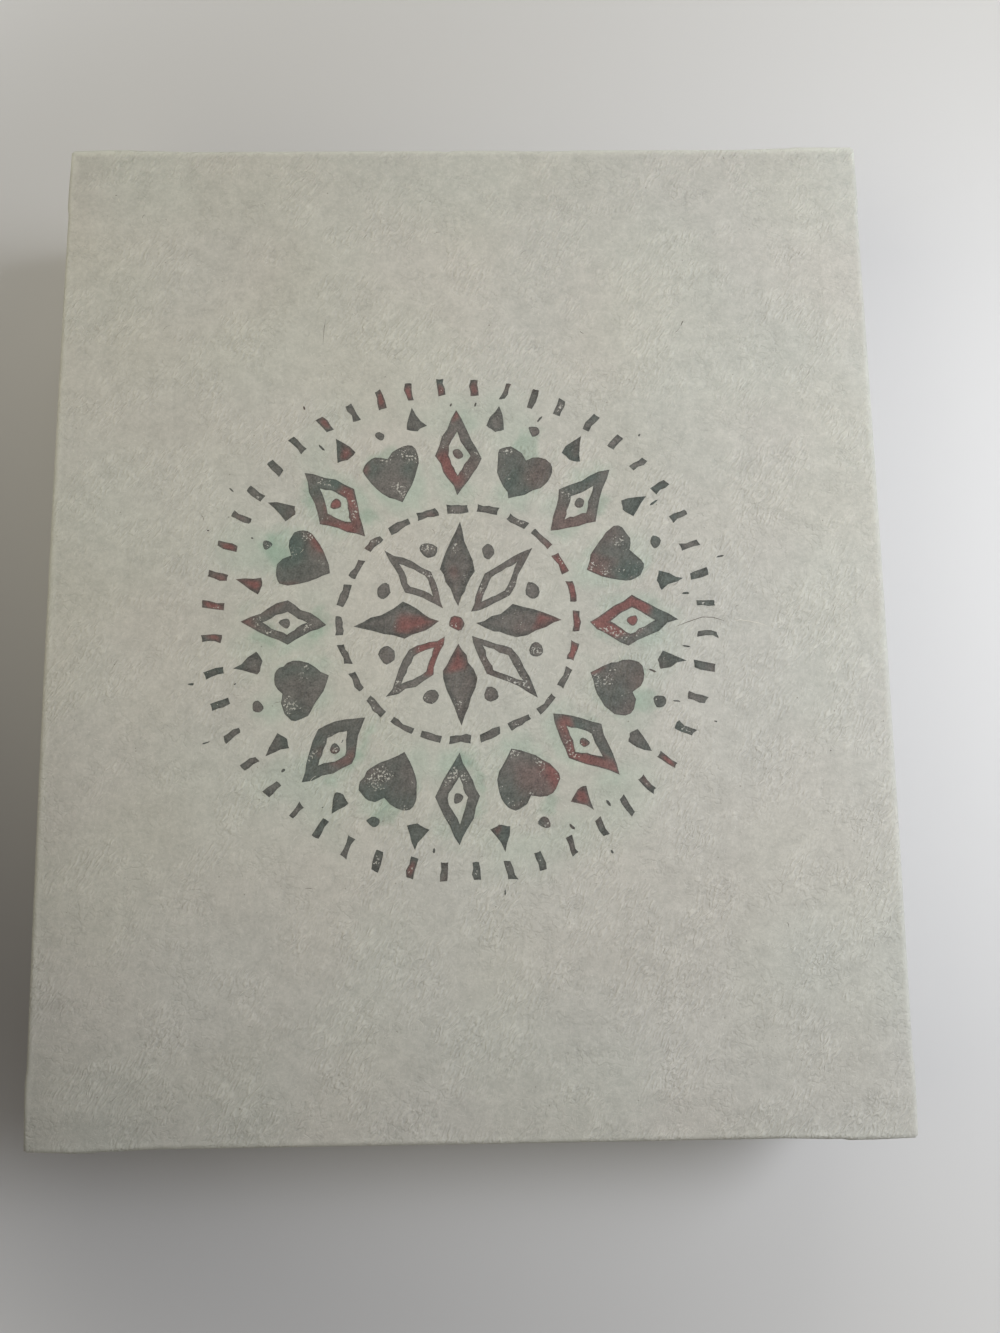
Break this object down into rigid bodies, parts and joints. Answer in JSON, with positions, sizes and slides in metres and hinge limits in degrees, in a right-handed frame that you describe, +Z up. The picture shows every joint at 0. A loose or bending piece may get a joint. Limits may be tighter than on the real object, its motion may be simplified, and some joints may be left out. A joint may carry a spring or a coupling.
{
  "type": "gift box",
  "caption": "Shallow rectangular keepsake box: a paper-covered rigid board tray with a matching lift-off lid.",
  "frame": {"origin": "middle of the underside, on the surface that the box stands on", "axes": "+X to the right and +Y to the back along the long side, seen from the front; +Z up through the lid"},
  "size_m": [0.181, 0.218, 0.04],
  "materials": {
    "kraft_paper": "matt",
    "lining_paper": "matt",
    "greyboard": "matt",
    "gummed_tape": "matt",
    "block_print_ink": "matt"
  },
  "bodies": {
    "tray": {"tray_bottom_sheet": "kraft_paper", "tray_cover_paper": "kraft_paper", "tray_bottom_board": "greyboard", "tray_front_board": "greyboard", "tray_back_board": "greyboard", "tray_left_board": "greyboard", "tray_right_board": "greyboard", "tray_corner_stay_front_left": "gummed_tape", "tray_corner_stay_front_right": "gummed_tape", "tray_corner_stay_back_left": "gummed_tape", "tray_corner_stay_back_right": "gummed_tape", "tray_lining": "lining_paper"},
    "lid": {"lid_cover_paper": "kraft_paper", "lid_top_board": "greyboard", "lid_front_board": "greyboard", "lid_back_board": "greyboard", "lid_left_board": "greyboard", "lid_right_board": "greyboard", "lid_corner_stay_front_left": "gummed_tape", "lid_corner_stay_front_right": "gummed_tape", "lid_corner_stay_back_left": "gummed_tape", "lid_corner_stay_back_right": "gummed_tape", "lid_lining": "lining_paper"}
  },
  "joints": [
    {"name": "lid_lift", "type": "slide", "parent": "tray", "child": "lid", "axis": [0, 0, 1], "range_m": [0, 0.08]}
  ]
}
